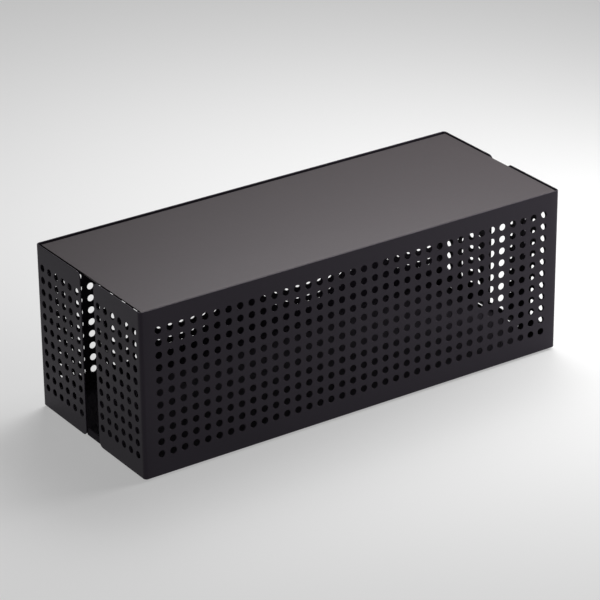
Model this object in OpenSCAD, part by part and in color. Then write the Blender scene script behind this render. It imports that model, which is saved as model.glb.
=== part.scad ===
// Cable management box for a desk or floor: a perforated sheet-steel box with a
// loose drop-in lid and a full-height cable slot at each end.
// Two folded panels make the walls. Each one is a long wall with a narrow flap
// folded in at both ends, and the flaps of the two panels stop short of each
// other, which leaves the cable slots. A shallow floor tray is welded in between
// the panels. The lid rests on four small angles, one in each corner.
// Origin: centre of the footprint, at the underside of the foot pads.
// +X runs along the long walls, +Y from the front panel to the back panel, +Z up.

/* [Box] */
// Length over the end flaps
box_l = 395; // [300:1:460]
// Depth over the two long walls
box_d = 154; // [120:1:180]
// Height of the walls from their cut lower edge to the rim
wall_h = 140; // [110:1:170]
// Thickness of the steel sheet
sheet_t = 1; // [0.8:0.1:1.5]
// Outside radius of the folds in the walls
fold_r = 3; // [2:0.5:4]

/* [Perforation] */
// Diameter of the round ventilation holes
hole_d = 5.8; // [4:0.1:7.5]
// Distance between hole centres, along the rows and up the columns
hole_pitch = 10.4; // [9:0.1:14]
// Least distance from the end of a long wall to its first column of holes
end_land = 12.5; // [10:0.5:20]
// Least distance from the rim and the lower edge to the nearest row of holes
rim_land = 15; // [12:0.5:24]
// Least plain strip between a vertical fold and the edge of a flap's first holes
fold_land = 2.5; // [1:0.1:6]

/* [Cable slots] */
// Width of the slot between the two flaps of an end
slot_w = 19.6; // [12:0.2:30]
// Distance from a slot's edge to the nearest column of holes
slot_land = 6; // [5:0.2:9]
// Corner radius where a flap meets the slot
slot_corner_r = 5; // [1:0.5:6]

/* [Floor] */
// Outside height of the turned-up edges of the floor tray
tray_lip_h = 7.3; // [5:0.1:12]
// Outside radius of the folds in the floor tray
tray_fold_r = 1.8; // [1.6:0.1:3]
// Width of the weld tab behind each end flap
weld_tab_w = 24; // [10:1:40]
// Corner radius of the tray's end tabs
tab_corner_r = 2.5; // [1:0.5:4]

/* [Lid] */
// Depth of the lid's top below the rim
lid_recess = 0.8; // [0.5:0.1:4]
// Thickness of the lid's sheet
lid_t = 1.2; // [1:0.1:1.6]
// Gap between the lid and the long walls, each side
lid_gap_side = 1.2; // [0.6:0.1:2]
// Gap between the lid and the end flaps, each end
lid_gap_end = 1.6; // [0.8:0.1:3]
// How far the loose lid lies from the middle, towards +X
lid_offset = 0.5; // [0:0.1:0.7]
// Outside depth of the stiffening flanges along the lid's long sides
lid_flange_h = 8; // [5:0.5:14]
// Outside radius of the folds in the lid
lid_fold_r = 2; // [1.8:0.1:3]

/* [Lid rests] */
// Width of a rest angle along the wall
rest_w = 9; // [6:0.5:9]
// Reach of a rest angle from the wall
rest_reach = 9; // [6:0.5:14]
// Gap between a rest angle and the fold beside it
rest_gap = 0.2; // [0.1:0.1:2]
// Height of a rest angle's upright leg
rest_leg_h = 12; // [6:0.5:20]
// Diameter of the clear buffer dots on the rests
buffer_d = 5; // [3:0.5:6]
// Thickness of a buffer dot
buffer_t = 0.8; // [0.5:0.1:1.5]

/* [Feet] */
// Diameter of a foot pad
pad_d = 14; // [8:1:20]
// Thickness of a foot pad
pad_t = 2; // [1:0.5:4]
// Distance from the walls' outer faces to a foot pad's centre
pad_inset = 18; // [12:1:30]

/* [Hidden] */
$fn = 48;

powder_black = "#2b2a2d";
silicone_clear = "#d8dadb";
rubber_black = "#1c1c1d";
weld_skin = 0.02;   // paint-thin gap between parts that lie on each other

floor_z = pad_t;
rim_z = floor_z + wall_h;
flap_w = (box_d - slot_w) / 2;
wall_cols = floor((box_l - 2 * end_land) / hole_pitch) + 1;
wall_rows = floor((wall_h - 2 * rim_land) / hole_pitch) + 1;
flap_cols = floor((flap_w - slot_land - fold_r - hole_d / 2 - fold_land) / hole_pitch) + 1;
lid_top_z = rim_z - lid_recess;
lid_l = box_l - 2 * (sheet_t + lid_gap_end);
lid_d = box_d - 2 * (sheet_t + lid_gap_side);
rest_top_z = lid_top_z - lid_flange_h - buffer_t - 2 * weld_skin;

// Points of a row centred on 0, n long, one hole pitch apart
function row(n) = [for (i = [0 : n - 1]) (i - (n - 1) / 2) * hole_pitch];

// Plate in the XZ plane, its outer face at y = 0 and its thickness towards +Y
module upright(t) {
    translate([0, t, 0])
        rotate([90, 0, 0])
            linear_extrude(t)
                children();
}

// Quarter of a fold: outside radius r, thickness t, standing h high, centred on
// the axis of the fold and filling the corner towards -X and -Y
module fold(r, t, h) {
    intersection() {
        difference() {
            cylinder(r = r, h = h);
            translate([0, 0, -1])
                cylinder(r = r - t, h = h + 2);
        }
        translate([-r - 1, -r - 1, 0])
            cube([r + 1, r + 1, h]);
    }
}

// Rectangle from the origin with its two corners on the far side of X rounded
module rounded_end(w, h, r) {
    square([w - r, h]);
    translate([0, r])
        square([w, h - 2 * r]);
    for (z = [r, h - r])
        translate([w - r, z])
            circle(r = r);
}

// Outline of a long wall with its field of holes, centred on X
module wall_sheet() {
    difference() {
        translate([-box_l / 2 + fold_r, 0])
            square([box_l - 2 * fold_r, wall_h]);
        for (x = row(wall_cols), z = row(wall_rows))
            translate([x, wall_h / 2 + z])
                circle(d = hole_d);
    }
}

// Outline of an end flap with its holes: x = 0 at the fold, the slot at the far end
module flap_sheet() {
    w = flap_w - fold_r;
    difference() {
        rounded_end(w, wall_h, slot_corner_r);
        for (i = [0 : flap_cols - 1], z = row(wall_rows))
            translate([w - slot_land - i * hole_pitch, wall_h / 2 + z])
                circle(d = hole_d);
    }
}

// One wall panel, folded from a single perforated sheet, as the front one
module wall_panel() {
    translate([0, -box_d / 2, floor_z]) {
        upright(sheet_t)
            wall_sheet();
        for (side = [0, 1])
            mirror([side, 0, 0])
                translate([-box_l / 2, 0, 0]) {
                    translate([fold_r, fold_r, 0])
                        fold(fold_r, sheet_t, wall_h);
                    translate([sheet_t, fold_r, 0])
                        rotate([0, 0, 90])
                            upright(sheet_t)
                                flap_sheet();
                }
    }
}

module front_panel() {
    color(powder_black)
        wall_panel();
}

module back_panel() {
    color(powder_black)
        rotate([0, 0, 180])
            wall_panel();
}

// Turned-up edge of the floor tray, w long, its outer face at y = 0 and its
// lower face at z = 0, with the floor running on towards +Y
module tray_lip(w, corner_r) {
    upright(sheet_t)
        translate([-w / 2, tray_fold_r]) {
            h = tray_lip_h - tray_fold_r;
            square([w, h - corner_r]);
            translate([corner_r, 0])
                square([w - 2 * corner_r, h]);
            for (x = [corner_r, w - corner_r])
                translate([x, h - corner_r])
                    circle(r = corner_r);
        }
    translate([w / 2, tray_fold_r, tray_fold_r])
        rotate([0, -90, 0])
            fold(tray_fold_r, sheet_t, w);
}

module floor_tray() {
    // The tray lies against the walls' inner faces
    in = sheet_t + weld_skin;
    slab_l = box_l - 2 * (in + tray_fold_r);
    slab_d = box_d - 2 * (in + tray_fold_r);
    slot_tab_w = slot_w + sheet_t;
    flap_mid = box_d / 2 - flap_w / 2;
    color(powder_black)
        translate([0, 0, floor_z]) {
            translate([-slab_l / 2, -slab_d / 2, 0])
                cube([slab_l, slab_d, sheet_t]);
            for (turn = [0, 180])
                rotate([0, 0, turn]) {
                    translate([0, -box_d / 2 + in, 0])
                        tray_lip(slab_l, tab_corner_r);
                    translate([-box_l / 2 + in, 0, 0])
                        rotate([0, 0, -90]) {
                            tray_lip(slot_tab_w, tab_corner_r);
                            for (x = [-flap_mid, flap_mid])
                                translate([x, 0, 0])
                                    tray_lip(weld_tab_w, tab_corner_r);
                        }
                }
        }
}

// Flat lid with a stiffening flange folded down along each long side
module lid() {
    color(powder_black)
        translate([lid_offset, 0, lid_top_z]) {
            translate([-lid_l / 2, -lid_d / 2 + lid_fold_r, -lid_t])
                cube([lid_l, lid_d - 2 * lid_fold_r, lid_t]);
            for (side = [0, 1])
                mirror([0, side, 0]) {
                    translate([-lid_l / 2, -lid_d / 2 + lid_fold_r, -lid_fold_r])
                        rotate([0, 90, 0])
                            fold(lid_fold_r, lid_t, lid_l);
                    translate([-lid_l / 2, -lid_d / 2, -lid_flange_h])
                        cube([lid_l, lid_t, lid_flange_h - lid_fold_r]);
                }
        }
}

// Runs its children in the front left corner, or mirrored into another one
module in_corner(x_side, y_side) {
    mirror([x_side > 0 ? 1 : 0, 0, 0])
        mirror([0, y_side > 0 ? 1 : 0, 0])
            children();
}

// Small angle welded inside a corner: its top leaf carries the lid's flange
module lid_rest(x_side, y_side) {
    in = sheet_t + weld_skin;
    color(powder_black)
        in_corner(x_side, y_side)
            translate([-box_l / 2 + fold_r + rest_gap, -box_d / 2 + in, rest_top_z]) {
                translate([0, 0, -rest_leg_h])
                    cube([rest_w, sheet_t, rest_leg_h - tray_fold_r]);
                translate([0, tray_fold_r, -tray_fold_r])
                    rotate([0, 90, 0])
                        fold(tray_fold_r, sheet_t, rest_w);
                translate([0, tray_fold_r, -sheet_t])
                    cube([rest_w, rest_reach - tray_fold_r, sheet_t]);
            }
}

// Self-adhesive dot on a rest, under the lid's flange
module lid_buffer(x_side, y_side) {
    color(silicone_clear, 0.6)
        in_corner(x_side, y_side)
            translate([
                -box_l / 2 + fold_r + rest_gap + rest_w / 2,
                -box_d / 2 + sheet_t + lid_gap_side + buffer_d / 2,
                rest_top_z + weld_skin,
            ])
                cylinder(d = buffer_d, h = buffer_t);
}

module foot_pad(x_side, y_side) {
    color(rubber_black)
        in_corner(x_side, y_side)
            translate([-box_l / 2 + pad_inset, -box_d / 2 + pad_inset, 0])
                cylinder(d = pad_d, h = pad_t);
}

front_panel();
back_panel();
floor_tray();
lid();
lid_rest(-1, -1);  // lid_rest_front_left
lid_rest(1, -1);  // lid_rest_front_right
lid_rest(-1, 1);  // lid_rest_back_left
lid_rest(1, 1);  // lid_rest_back_right
lid_buffer(-1, -1);  // lid_buffer_front_left
lid_buffer(1, -1);  // lid_buffer_front_right
lid_buffer(-1, 1);  // lid_buffer_back_left
lid_buffer(1, 1);  // lid_buffer_back_right
foot_pad(-1, -1);  // foot_pad_front_left
foot_pad(1, -1);  // foot_pad_front_right
foot_pad(-1, 1);  // foot_pad_back_left
foot_pad(1, 1);  // foot_pad_back_right
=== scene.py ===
import math

import bmesh
import bpy
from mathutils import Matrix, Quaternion, Vector


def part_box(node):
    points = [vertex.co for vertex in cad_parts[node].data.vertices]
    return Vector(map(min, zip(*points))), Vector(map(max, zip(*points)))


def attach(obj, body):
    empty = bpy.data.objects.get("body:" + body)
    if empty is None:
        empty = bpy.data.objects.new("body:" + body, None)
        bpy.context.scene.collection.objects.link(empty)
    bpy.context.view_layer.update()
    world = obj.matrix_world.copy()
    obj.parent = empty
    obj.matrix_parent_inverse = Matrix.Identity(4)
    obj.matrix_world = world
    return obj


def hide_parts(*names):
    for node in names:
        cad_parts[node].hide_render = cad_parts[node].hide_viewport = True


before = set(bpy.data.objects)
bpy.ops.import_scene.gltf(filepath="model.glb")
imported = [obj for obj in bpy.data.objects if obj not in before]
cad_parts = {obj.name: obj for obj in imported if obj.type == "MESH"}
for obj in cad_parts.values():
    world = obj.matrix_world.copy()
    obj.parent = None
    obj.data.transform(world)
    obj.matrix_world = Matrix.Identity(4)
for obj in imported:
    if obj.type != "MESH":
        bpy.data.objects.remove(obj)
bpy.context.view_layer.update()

MM = 0.001


# ---------------------------------------------------------------- front and back wall panels
# Each panel is one blank of 1 mm mild steel: a square grid of round holes is punched
# into it, it is sheared to size and folded at both ends, and then it is powder-coated
# black all over. The coat rounds every punched and sheared edge a little.
front_low, front_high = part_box("front_panel")
SHEET = 1.0 * MM
FOLD_R = 3.0 * MM
HOLE_R = 2.9 * MM
PITCH = 10.4 * MM
ROWS = 11
WALL_COLUMNS = 36
FLAP_COLUMNS = 6
SLOT_LAND = 6.0 * MM
SLOT_CORNER_R = 5.0 * MM
COATED_EDGE = 0.2 * MM
PUNCHED_EDGE = 0.3 * MM
HOLE_SIDES = 16
FOLD_STEPS = 6
CORNER_STEPS = 5
TINY = 0.01 * MM
UPRIGHT = (math.pi / 2, 0, 0)
CUT_EDGE_ANGLE = math.radians(40)

half_length = front_high.x
half_depth = -front_low.y
wall_foot = front_low.z
wall_height = front_high.z - front_low.z
flap_width = front_high.y - front_low.y
lowest_row = (wall_height - (ROWS - 1) * PITCH) / 2


def select_only(piece):
    bpy.ops.object.select_all(action="DESELECT")
    piece.select_set(True)
    bpy.context.view_layer.objects.active = piece


def settle(piece):
    """Puts the piece's place and turn into its mesh and leaves its object at the origin."""
    select_only(piece)
    bpy.ops.object.transform_apply(location=True, rotation=True, scale=True)


def edit(piece):
    select_only(piece)
    bpy.ops.object.mode_set(mode="EDIT")


def done():
    bpy.ops.object.mode_set(mode="OBJECT")


def pick(piece, kind, wanted):
    """In edit mode, selects only the vertices, edges or faces whose middle is a wanted place."""
    bpy.ops.mesh.select_mode(type=kind)
    bpy.ops.mesh.select_all(action="DESELECT")
    shape = bmesh.from_edit_mesh(piece.data)
    parts = {"VERT": shape.verts, "EDGE": shape.edges, "FACE": shape.faces}[kind]
    for part in parts:
        corners = [part] if kind == "VERT" else list(part.verts)
        part.select_set(wanted(sum((v.co for v in corners), Vector()) / len(corners)))
    shape.select_flush_mode()
    bmesh.update_edit_mesh(piece.data)


def near(a, b):
    return abs(a - b) < TINY


def modify(piece, kind, **settings):
    """Adds a modifier with its settings and applies it."""
    modifier = piece.modifiers.new(kind.title(), kind)
    for name, value in settings.items():
        setattr(modifier, name, value)
    bpy.context.view_layer.objects.active = piece
    bpy.ops.object.modifier_apply(modifier=modifier.name)


def repeat(piece, count, step):
    modify(
        piece, "ARRAY", count=count, use_relative_offset=False, use_constant_offset=True,
        constant_offset_displace=step, use_merge_vertices=True, merge_threshold=TINY,
    )


def hole_field(columns, first_u):
    """The punched part of a sheet in the XZ plane, from its first hole at x = first_u."""
    first_hole = (first_u, 0, lowest_row)
    bpy.ops.mesh.primitive_plane_add(size=PITCH, location=first_hole, rotation=UPRIGHT)
    field = bpy.context.active_object
    settle(field)
    edit(field)
    bpy.ops.mesh.select_all(action="SELECT")
    bpy.ops.mesh.subdivide(number_cuts=HOLE_SIDES // 4 - 1)
    reach = PITCH / 2 - TINY
    pick(field, "VERT", lambda p: max(abs(p.x - first_u), abs(p.z - lowest_row)) < reach)
    bpy.ops.mesh.delete(type="VERT")
    bpy.ops.mesh.primitive_circle_add(
        vertices=HOLE_SIDES, radius=HOLE_R, location=first_hole, rotation=UPRIGHT,
    )
    bpy.ops.mesh.select_all(action="SELECT")
    bpy.ops.mesh.bridge_edge_loops()
    done()
    repeat(field, columns, (PITCH, 0, 0))
    repeat(field, ROWS, (0, 0, PITCH))
    return field


def border(sheet, axis, place, step):
    """Extends the sheet from its border line at one place along an axis, 0 for x and 2 for z."""
    pick(sheet, "EDGE", lambda p: near(p[axis], place))
    shift = Vector((0, 0, 0))
    shift[axis] = step
    bpy.ops.mesh.extrude_edges_move(TRANSFORM_OT_translate={"value": shift})


def punched_sheet(name, columns, first_u, start_u, end_u, round_end):
    """A hole field with its plain margins. round_end rounds the two corners at end_u."""
    sheet = hole_field(columns, first_u)
    sheet.name = name
    low_u, high_u = first_u - PITCH / 2, first_u + (columns - 0.5) * PITCH
    low_z, high_z = lowest_row - PITCH / 2, lowest_row + (ROWS - 0.5) * PITCH
    edit(sheet)
    border(sheet, 0, low_u, start_u - low_u)
    if round_end:
        pick(sheet, "VERT", lambda p: near(p.x, high_u))
        bpy.ops.transform.translate(value=(end_u - high_u, 0, 0))
    else:
        border(sheet, 0, high_u, end_u - high_u)
    border(sheet, 2, low_z, -low_z)
    border(sheet, 2, high_z, wall_height - high_z)
    if round_end:
        last_line = high_u - PITCH / (HOLE_SIDES // 4)
        pick(sheet, "EDGE", lambda p: near(p.x, last_line) and not low_z < p.z < high_z)
        bpy.ops.mesh.dissolve_edges(use_verts=True)
        pick(sheet, "VERT", lambda p: near(p.x, end_u) and not TINY < p.z < wall_height - TINY)
        bpy.ops.mesh.bevel(offset=SLOT_CORNER_R, segments=CORNER_STEPS, affect="VERTICES")
    done()
    return sheet


def wall_panel(name):
    """The front panel's folded sheet, with its thickness and its coated edges."""
    wall_end = half_length - FOLD_R
    first_x = -(WALL_COLUMNS - 1) * PITCH / 2
    wall = punched_sheet(name, WALL_COLUMNS, first_x, -wall_end, wall_end, False)
    wall.location = (0, -half_depth, wall_foot)
    settle(wall)

    flap_end = flap_width - FOLD_R
    first_u = flap_end - SLOT_LAND - (FLAP_COLUMNS - 1) * PITCH
    flap = punched_sheet("flap", FLAP_COLUMNS, first_u, 0, flap_end, True)
    flap.rotation_euler.z = math.pi / 2
    flap.location = (half_length, -half_depth + FOLD_R, wall_foot)
    settle(flap)
    edit(flap)
    pick(flap, "EDGE", lambda p: near(p.y, -half_depth + FOLD_R))
    bpy.ops.mesh.spin(
        steps=FOLD_STEPS, angle=math.pi / 2, axis=(0, 0, 1),
        center=(half_length - FOLD_R, -half_depth + FOLD_R, 0),
    )
    done()
    modify(flap, "MIRROR", use_mirror_merge=False)

    select_only(wall)
    flap.select_set(True)
    bpy.ops.object.join()
    thicken(wall, SHEET)
    coat_edges(wall, PUNCHED_EDGE, 1)
    return wall


def thicken(sheet, thickness):
    """Gives a folded sheet its thickness, inwards from the faces modelled so far."""
    edit(sheet)
    bpy.ops.mesh.select_all(action="SELECT")
    bpy.ops.mesh.remove_doubles(threshold=TINY)
    bpy.ops.mesh.normals_make_consistent(inside=False)
    done()
    modify(sheet, "SOLIDIFY", thickness=thickness, offset=-1, use_even_offset=True)


def coat_edges(piece, radius, segments):
    """Rounds the cut edges as a powder coat does, and keeps the flat faces flat."""
    select_only(piece)
    bpy.ops.object.shade_smooth()
    modify(
        piece, "BEVEL", width=radius, segments=segments, limit_method="ANGLE",
        angle_limit=CUT_EDGE_ANGLE, harden_normals=True, use_clamp_overlap=False,
    )


def linear(code):
    """A linear RGBA colour from an sRGB hex code."""
    parts = [int(code[i:i + 2], 16) / 255 for i in (1, 3, 5)]
    return [c / 12.92 if c <= 0.04045 else ((c + 0.055) / 1.055) ** 2.4 for c in parts] + [1.0]


def add_node(tree, kind, settings=(), **inputs):
    """Adds a shader node with its settings. An input is a value, or the output linked to it."""
    node = tree.nodes.new("ShaderNode" + kind)
    for name, value in dict(settings).items():
        setattr(node, name, value)
    for name, value in inputs.items():
        socket = node.inputs[name.replace("_", " ")]
        if isinstance(value, bpy.types.NodeSocket):
            tree.links.new(value, socket)
        else:
            socket.default_value = value
    return node


def new_material(name):
    material = bpy.data.materials.new(name)
    material.use_nodes = True
    material.node_tree.nodes.clear()
    return material, material.node_tree


# Satin polyester powder coat, baked on: a smooth dark skin that shows no brush marks, a
# very fine grain, and a soft sheen that grows strong at grazing angles. The sheen has
# a colour of its own: on the walls the black looks faintly violet where light grazes it.
# The real grain is finer, 0.1 to 0.2 mm: it is drawn as coarse as it needs to be to show.
GRAIN = 0.5 * MM
GRAIN_DEPTH = 0.01 * MM
ORANGE_PEEL = 4.0 * MM
PEEL_DEPTH = 0.02 * MM
COAT_IOR = 1.4


def powder_coat(name, dark, light, sheen, roughness):
    material, tree = new_material(name)
    place = add_node(tree, "TexCoord").outputs["Object"]
    peel = add_node(tree, "TexNoise", Vector=place, Scale=1 / ORANGE_PEEL, Detail=2.0)
    grain = add_node(tree, "TexNoise", Vector=place, Scale=1 / GRAIN, Detail=1.0)
    colour = add_node(tree, "ValToRGB", Fac=peel.outputs["Fac"])
    colour.color_ramp.elements[0].color = linear(dark)
    colour.color_ramp.elements[1].color = linear(light)
    peel_bump = add_node(
        tree, "Bump", Height=peel.outputs["Fac"], Distance=PEEL_DEPTH, Strength=0.5,
    )
    grain_bump = add_node(
        tree, "Bump", Height=grain.outputs["Fac"], Distance=GRAIN_DEPTH, Strength=0.5,
        Normal=peel_bump.outputs["Normal"],
    )
    coat = add_node(
        tree, "BsdfPrincipled", Base_Color=colour.outputs["Color"], Roughness=roughness,
        IOR=COAT_IOR, Specular_Tint=linear(sheen), Normal=grain_bump.outputs["Normal"],
    )
    add_node(tree, "OutputMaterial", Surface=coat.outputs["BSDF"])
    return material


wall_coat = powder_coat("powder_coat_walls", "#0b080f", "#100c15", "#f8eaff", 0.52)


def finish_piece(piece, material, slot, body, *nodes):
    """Gives a mesh its material, hides the nodes it stands for and parents it to what it rides
    on.
    """
    piece.data.materials.clear()
    piece.data.materials.append(material)
    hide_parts(*nodes)
    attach(piece, body)


def copy_of(piece, name, turn, shift):
    """A copy with its own mesh, turned about the upright axis and then moved."""
    twin = piece.copy()
    twin.data = piece.data.copy()
    twin.name = name
    bpy.context.scene.collection.objects.link(twin)
    twin.rotation_euler.z = turn
    twin.location = shift
    settle(twin)
    return twin


front_panel = wall_panel("front_panel_coated")
back_panel = copy_of(front_panel, "back_panel_coated", math.pi, (0, 0, 0))
finish_piece(front_panel, wall_coat, "panel_coating", "box", "front_panel")
finish_piece(back_panel, wall_coat, "panel_coating", "box", "back_panel")


# ---------------------------------------------------------------- floor tray
# The floor is one sheet with its long edges turned up whole, and three tabs turned up
# at each end: one closes the foot of the cable slot and two are spot-welded behind the
# end flaps. It is powder-coated black like the walls.
tray_low, tray_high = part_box("floor_tray")
TRAY_FOLD_R = 1.8 * MM
TAB_CORNER_R = 2.5 * MM
WELD_TAB = 24.0 * MM
TRAY_FOLD_STEPS = 5

slot_tab = 2 * (half_depth - flap_width) + SHEET
flap_middle = half_depth - flap_width / 2
slab_x = tray_high.x - TRAY_FOLD_R
slab_y = tray_high.y - TRAY_FOLD_R


def flat_sheet(name, low, high, height):
    """A flat rectangle at one height, left in edit mode."""
    middle = ((low[0] + high[0]) / 2, (low[1] + high[1]) / 2, height)
    bpy.ops.mesh.primitive_plane_add(size=1, location=middle)
    sheet = bpy.context.active_object
    sheet.name = name
    settle(sheet)
    edit(sheet)
    bpy.ops.mesh.select_all(action="SELECT")
    bpy.ops.transform.resize(value=(high[0] - low[0], high[1] - low[1], 1))
    return sheet


def turn_edge(sheet, wanted, centre, axis, steps, rise):
    """Folds the wanted edges through a right angle round the centre and runs them on by rise."""
    pick(sheet, "EDGE", wanted)
    bpy.ops.mesh.spin(steps=steps, angle=math.pi / 2, axis=axis, center=centre)
    bpy.ops.mesh.extrude_edges_move(TRANSFORM_OT_translate={"value": (0, 0, rise)})


tray = flat_sheet("floor_tray_coated", (0, 0), (slab_x, slab_y), tray_low.z)
for cut_y in (slot_tab / 2, flap_middle - WELD_TAB / 2, flap_middle + WELD_TAB / 2):
    bpy.ops.mesh.select_all(action="SELECT")
    bpy.ops.mesh.bisect(plane_co=(0, cut_y, 0), plane_no=(0, 1, 0))
lip_rise = tray_high.z - tray_low.z - TRAY_FOLD_R


def on_tab(p):
    """True on the tray's end where the slot's tab or a weld tab is turned up."""
    return near(p.x, slab_x) and (
        p.y < slot_tab / 2 or abs(p.y - flap_middle) < WELD_TAB / 2
    )


turn_edge(
    tray, on_tab, (slab_x, 0, tray_low.z + TRAY_FOLD_R), (0, 1, 0), TRAY_FOLD_STEPS, lip_rise,
)
turn_edge(
    tray, lambda p: near(p.y, slab_y) and near(p.z, tray_low.z),
    (0, slab_y, tray_low.z + TRAY_FOLD_R), (-1, 0, 0), TRAY_FOLD_STEPS, lip_rise,
)
pick(tray, "VERT", lambda p: near(p.z, tray_high.z) and min(p.x, p.y) > TINY)
bpy.ops.mesh.bevel(offset=TAB_CORNER_R, segments=CORNER_STEPS, affect="VERTICES")
done()
modify(tray, "MIRROR", use_axis=(True, True, False), merge_threshold=TINY)
thicken(tray, SHEET)
coat_edges(tray, COATED_EDGE, 2)
# Same kind of coat, duller; its darker colour is painted shade, so the inside looks black
# through the holes.
tray_coat = powder_coat("powder_coat_inside_painted_shade", "#09070b", "#0e0b11", "#f8eaff", 0.85)
finish_piece(tray, tray_coat, "panel_coating", "box", "floor_tray")


# ---------------------------------------------------------------- foot pads
# Four die-cut discs of black rubber, stuck under the floor near its corners. They
# lift the walls' cut edges off the table. Their lower rims are slightly rounded.
PAD_RIM = 0.4 * MM
PAD_SIDES = 48
MOTTLE = 0.6 * MM
MOTTLE_DEPTH = 0.05 * MM


def rubber_material():
    """Matt natural rubber: nearly black, with the faint mottle of a moulded sheet."""
    material, tree = new_material("black_rubber")
    place = add_node(tree, "TexCoord").outputs["Object"]
    mottle = add_node(tree, "TexNoise", Vector=place, Scale=1 / MOTTLE, Detail=3.0)
    colour = add_node(tree, "ValToRGB", Fac=mottle.outputs["Fac"])
    colour.color_ramp.elements[0].color = linear("#131314")
    colour.color_ramp.elements[1].color = linear("#1c1c1d")
    bump = add_node(
        tree, "Bump", Height=mottle.outputs["Fac"], Distance=MOTTLE_DEPTH, Strength=0.4,
    )
    rubber = add_node(
        tree, "BsdfPrincipled", Base_Color=colour.outputs["Color"], Roughness=0.75,
        IOR=1.52, Normal=bump.outputs["Normal"],
    )
    add_node(tree, "OutputMaterial", Surface=rubber.outputs["BSDF"])
    return material


def disc(name, node, rim, sides):
    """A round disc in the place of a node, with both rims rounded."""
    low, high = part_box(node)
    bpy.ops.mesh.primitive_cylinder_add(
        vertices=sides, radius=(high.x - low.x) / 2, depth=high.z - low.z,
        location=(low + high) / 2,
    )
    piece = bpy.context.active_object
    piece.name = name
    settle(piece)
    coat_edges(piece, rim, 3)
    return piece


rubber = rubber_material()
CORNERS = ("front_left", "front_right", "back_left", "back_right")
for corner in CORNERS:
    pad = disc("rubber_foot_" + corner, "foot_pad_" + corner, PAD_RIM, PAD_SIDES)
    finish_piece(pad, rubber, "pad_rubber", "box", "foot_pad_" + corner)


# ---------------------------------------------------------------- lid rests
# Four small angles of the same sheet, spot-welded inside the long walls, one in each
# corner. Their level leaves carry the lid's flanges just below the rim.
REST_FOLD_STEPS = 5
rest_low, rest_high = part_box("lid_rest_front_left")
leaf_start = rest_low.y + TRAY_FOLD_R
rest = flat_sheet(
    "lid_rest_coated_front_left",
    (rest_low.x, leaf_start), (rest_high.x, rest_high.y), rest_high.z,
)
turn_edge(
    rest, lambda p: near(p.y, leaf_start), (0, leaf_start, rest_high.z - TRAY_FOLD_R),
    (-1, 0, 0), REST_FOLD_STEPS, rest_low.z - rest_high.z + TRAY_FOLD_R,
)
done()
thicken(rest, SHEET)
coat_edges(rest, COATED_EDGE, 2)
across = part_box("lid_rest_front_right")[0].x - rest_low.x
rests = {
    "front_left": rest,
    "front_right": copy_of(rest, "lid_rest_coated_front_right", 0, (across, 0, 0)),
    "back_right": copy_of(rest, "lid_rest_coated_back_right", math.pi, (0, 0, 0)),
    "back_left": copy_of(rest, "lid_rest_coated_back_left", math.pi, (-across, 0, 0)),
}
for corner, angle in rests.items():
    finish_piece(angle, wall_coat, "panel_coating", "box", "lid_rest_" + corner)


# ---------------------------------------------------------------- buffer dots
# Clear self-adhesive silicone dots on the rests. They stop the lid from rattling.
BUFFER_RIM = 0.25 * MM
BUFFER_SIDES = 32
HAZE = 1.5 * MM


def silicone_material():
    """Clear silicone: it lets light through, with a soft, slightly tacky surface."""
    material, tree = new_material("clear_silicone")
    place = add_node(tree, "TexCoord").outputs["Object"]
    haze = add_node(tree, "TexNoise", Vector=place, Scale=1 / HAZE, Detail=2.0)
    rough = add_node(tree, "MapRange", Value=haze.outputs["Fac"], To_Min=0.2, To_Max=0.35)
    silicone = add_node(
        tree, "BsdfPrincipled", Base_Color=linear("#e4e6e7"), IOR=1.41, Transmission_Weight=0.85,
        Roughness=rough.outputs["Result"],
    )
    add_node(tree, "OutputMaterial", Surface=silicone.outputs["BSDF"])
    return material


silicone = silicone_material()
for corner in CORNERS:
    dot = disc("silicone_dot_" + corner, "lid_buffer_" + corner, BUFFER_RIM, BUFFER_SIDES)
    finish_piece(dot, silicone, "buffer_silicone", "box", "lid_buffer_" + corner)


# ---------------------------------------------------------------- lid
# A flat sheet with its two long sides folded down as stiffening flanges, powder-coated
# like the box. Its colour is a warmer and lighter black than the walls'; the lighter tone is
# painted light, for the sheen its top catches. It is loose: it drops in between the walls
# and lies just below the rim.
lid_low, lid_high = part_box("lid")
LID_SHEET = 1.2 * MM
LID_FOLD_R = 2.0 * MM
LID_EDGE = 0.35 * MM

lid_flat_y = lid_high.y - LID_FOLD_R
# The lid's lighter base colour is painted light: it stands for the sheen on its lit top.
lid_coat = powder_coat("powder_coat_lid_painted_light", "#221d1e", "#282324", "#fff3fc", 0.52)
lid = flat_sheet("lid_coated", (lid_low.x, 0), (lid_high.x, lid_flat_y), lid_high.z)
turn_edge(
    lid, lambda p: near(p.y, lid_flat_y), (0, lid_flat_y, lid_high.z - LID_FOLD_R),
    (1, 0, 0), FOLD_STEPS, lid_low.z - lid_high.z + LID_FOLD_R,
)
done()
modify(lid, "MIRROR", use_axis=(False, True, False), merge_threshold=TINY)
thicken(lid, LID_SHEET)
coat_edges(lid, LID_EDGE, 3)
finish_piece(lid, lid_coat, "lid_coating", "lid", "lid")


# ---------------------------------------------------------------- studio
# A wide pale floor under an even surround. One softbox stands at the right of the front
# wall, so that the wall shades off towards its left end, and two hang behind and above
# the box: the lid mirrors them, and little of their light falls through the holes.
AIM = Vector((-0.0022, 0.0009, 0.069))
FLOOR_SIZE = 12.0
FLOOR_GREY = (0.7, 0.7, 0.7, 1.0)
WHITE = (1.0, 1.0, 1.0, 1.0)
# What the floor and the surround show to rays that look at them. The two are matched, so
# that no horizon shows. The surround's light on the object is much weaker than its look.
FLOOR_WHITE = 0.38
SURROUND_LOOK = 0.42
SURROUND_LIGHT = 0.08


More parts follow.
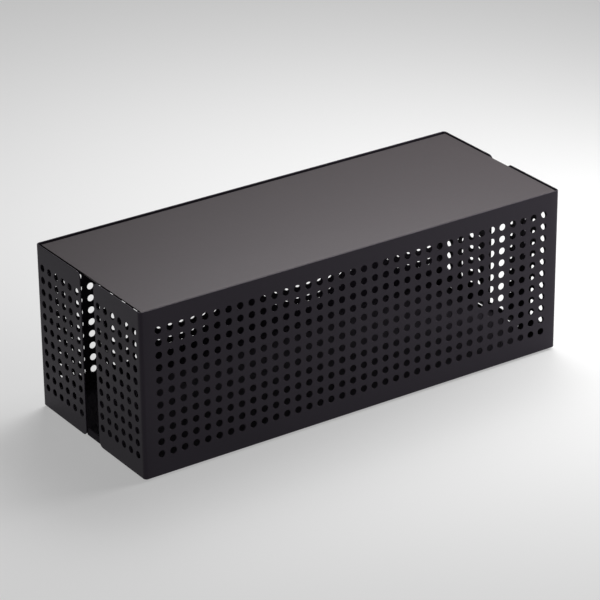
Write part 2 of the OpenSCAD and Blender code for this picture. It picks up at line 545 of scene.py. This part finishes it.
def direction(azimuth, elevation):
    """A unit vector from the box. Azimuth 0 is in front of it and 90 degrees at its right."""
    turn, rise = math.radians(azimuth), math.radians(elevation)
    level = math.cos(rise)
    return Vector((math.sin(turn) * level, -math.cos(turn) * level, math.sin(rise)))


def softbox(name, azimuth, elevation, distance, size, power):
    """A square lamp that faces the box and stays out of the picture."""
    lamp = bpy.data.lights.new(name, "AREA")
    lamp.size = size
    lamp.energy = power
    holder = bpy.data.objects.new(name, lamp)
    bpy.context.scene.collection.objects.link(holder)
    away = direction(azimuth, elevation)
    holder.location = AIM + away * distance
    holder.rotation_euler = away.to_track_quat("Z", "Y").to_euler()
    holder.visible_camera = False


softbox("right_softbox", 72, 24, 0.6, 0.3, 2.6)
softbox("back_softbox", 142, 60, 0.8, 0.5, 3.7)
softbox("overhead_softbox", 112, 59, 0.8, 0.5, 3.3)


def looked_at(tree):
    """1 for rays that look at a surface: from the camera, off gloss or through glass. Else 0."""
    ray = add_node(tree, "LightPath")
    total = ray.outputs["Is Camera Ray"]
    for kind in ("Is Glossy Ray", "Is Transmission Ray"):
        greatest = add_node(tree, "Math", {"operation": "MAXIMUM"})
        tree.links.new(total, greatest.inputs[0])
        tree.links.new(ray.outputs[kind], greatest.inputs[1])
        total = greatest.outputs["Value"]
    return total


bpy.ops.mesh.primitive_plane_add(size=FLOOR_SIZE)
floor = bpy.context.active_object
floor.name = "studio_floor"
floor_paint, tree = new_material("pale_floor_paint")
paint = add_node(tree, "BsdfDiffuse", Color=FLOOR_GREY)
white = add_node(tree, "Emission", Color=WHITE, Strength=1.0)
share = add_node(tree, "MapRange", Value=looked_at(tree), To_Min=0.0, To_Max=FLOOR_WHITE)
blend = add_node(tree, "MixShader", Fac=share.outputs["Result"])
tree.links.new(paint.outputs["BSDF"], blend.inputs[1])
tree.links.new(white.outputs["Emission"], blend.inputs[2])
add_node(tree, "OutputMaterial", Surface=blend.outputs["Shader"])
floor.data.materials.append(floor_paint)

world = bpy.data.worlds.new("pale_surround")
bpy.context.scene.world = world
world.use_nodes = True
tree = world.node_tree
tree.nodes.clear()
strength = add_node(
    tree, "MapRange", Value=looked_at(tree), To_Min=SURROUND_LIGHT, To_Max=SURROUND_LOOK,
)
surround = add_node(tree, "Background", Color=WHITE, Strength=strength.outputs["Result"])
add_node(tree, "OutputWorld", Surface=surround.outputs["Background"])

VIEW_AZIMUTH = -34.041
VIEW_ELEVATION = 25.512
VIEW_ROLL = math.radians(-0.546)
VIEW_DISTANCE = 2.396
LENS_MM = 180.05
camera_data = bpy.data.cameras.new("camera")
camera_data.lens = LENS_MM
camera = bpy.data.objects.new("camera", camera_data)
bpy.context.scene.collection.objects.link(camera)
bpy.context.scene.camera = camera
away = direction(VIEW_AZIMUTH, VIEW_ELEVATION)
camera.location = AIM + away * VIEW_DISTANCE
camera.rotation_mode = "QUATERNION"
facing = (-away).to_track_quat("-Z", "Y")
camera.rotation_quaternion = facing @ Quaternion((0, 0, 1), VIEW_ROLL)
camera_data.clip_start, camera_data.clip_end = 0.1, 20
bpy.context.scene.view_settings.view_transform = "Standard"
